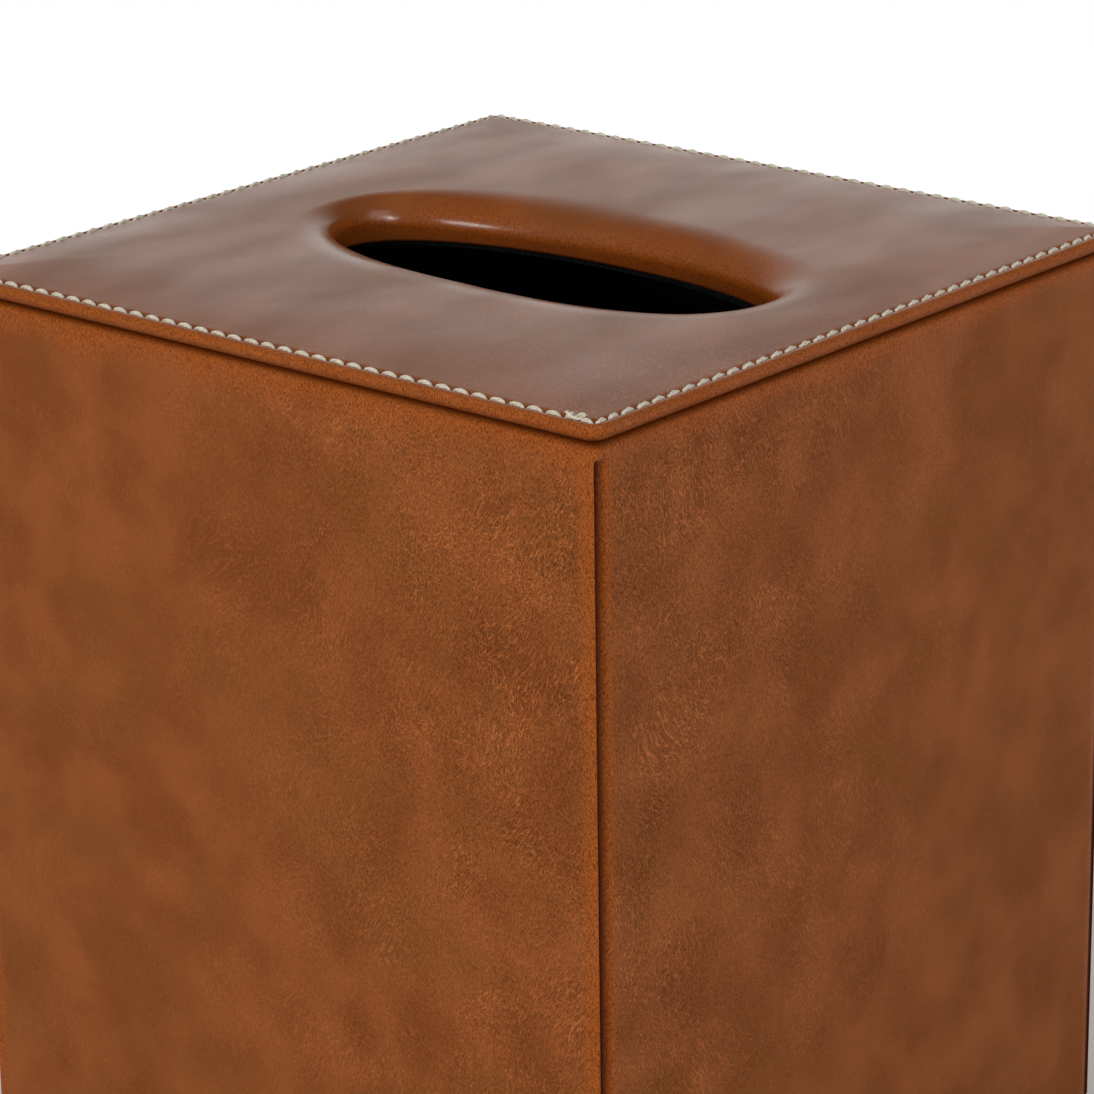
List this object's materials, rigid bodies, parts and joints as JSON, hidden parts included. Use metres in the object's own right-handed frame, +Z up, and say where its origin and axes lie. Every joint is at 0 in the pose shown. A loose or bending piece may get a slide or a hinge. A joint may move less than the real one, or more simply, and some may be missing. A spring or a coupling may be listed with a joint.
{
  "type": "tissue box with drawer",
  "caption": "Leather-covered cube tissue box with a padded, stitched lift-off lid, a rolled oval opening and a shallow drawer with a leather pull tab.",
  "frame": {"origin": "middle of the underside of the base felt, which the box stands on", "axes": "+Z up, -Y the way the drawer opens, +X to the right as seen from the drawer"},
  "size_m": [0.135, 0.1463, 0.1593],
  "materials": {
    "leather": "satin",
    "lid_leather": "satin",
    "thread": "matte",
    "fibreboard": "matte",
    "greyboard": "matte",
    "drawer_board": "matte",
    "foam": "matte",
    "black_cloth": "matte",
    "felt": "matte",
    "glide_tape": "gloss",
    "brass": "satin"
  },
  "bodies": {
    "box": {"base_board": "fibreboard", "left_wall_board": "fibreboard", "right_wall_board": "fibreboard", "back_wall_board": "fibreboard", "front_wall_board": "fibreboard", "shelf_board": "fibreboard", "left_skin": "leather", "right_skin": "leather", "back_skin": "leather", "front_skin": "leather", "base_cover": "felt", "wall_lining": "black_cloth", "shelf_lining": "black_cloth", "drawer_glides": "glide_tape", "drawer_bumpers": "felt"},
    "lid": {"lid_board": "greyboard", "lid_foam": "foam", "lid_leather": "lid_leather", "lid_stitching": "thread", "lid_plug_board": "fibreboard", "lid_plug_lining": "black_cloth"},
    "drawer": {"drawer_front_board": "fibreboard", "drawer_front_leather": "leather", "drawer_left_side": "drawer_board", "drawer_right_side": "drawer_board", "drawer_back": "drawer_board", "drawer_bottom": "drawer_board", "drawer_bottom_lining": "black_cloth", "drawer_wall_lining": "black_cloth", "pull_tab": "leather", "pull_post": "brass", "pull_screw": "brass"}
  },
  "joints": [
    {"name": "lid_lift", "type": "slide", "parent": "box", "child": "lid", "axis": [0, 0, 1], "range_m": [0, 0.04]},
    {"name": "drawer_slide", "type": "slide", "parent": "box", "child": "drawer", "axis": [0, -1, 0], "range_m": [0, 0.09]}
  ]
}
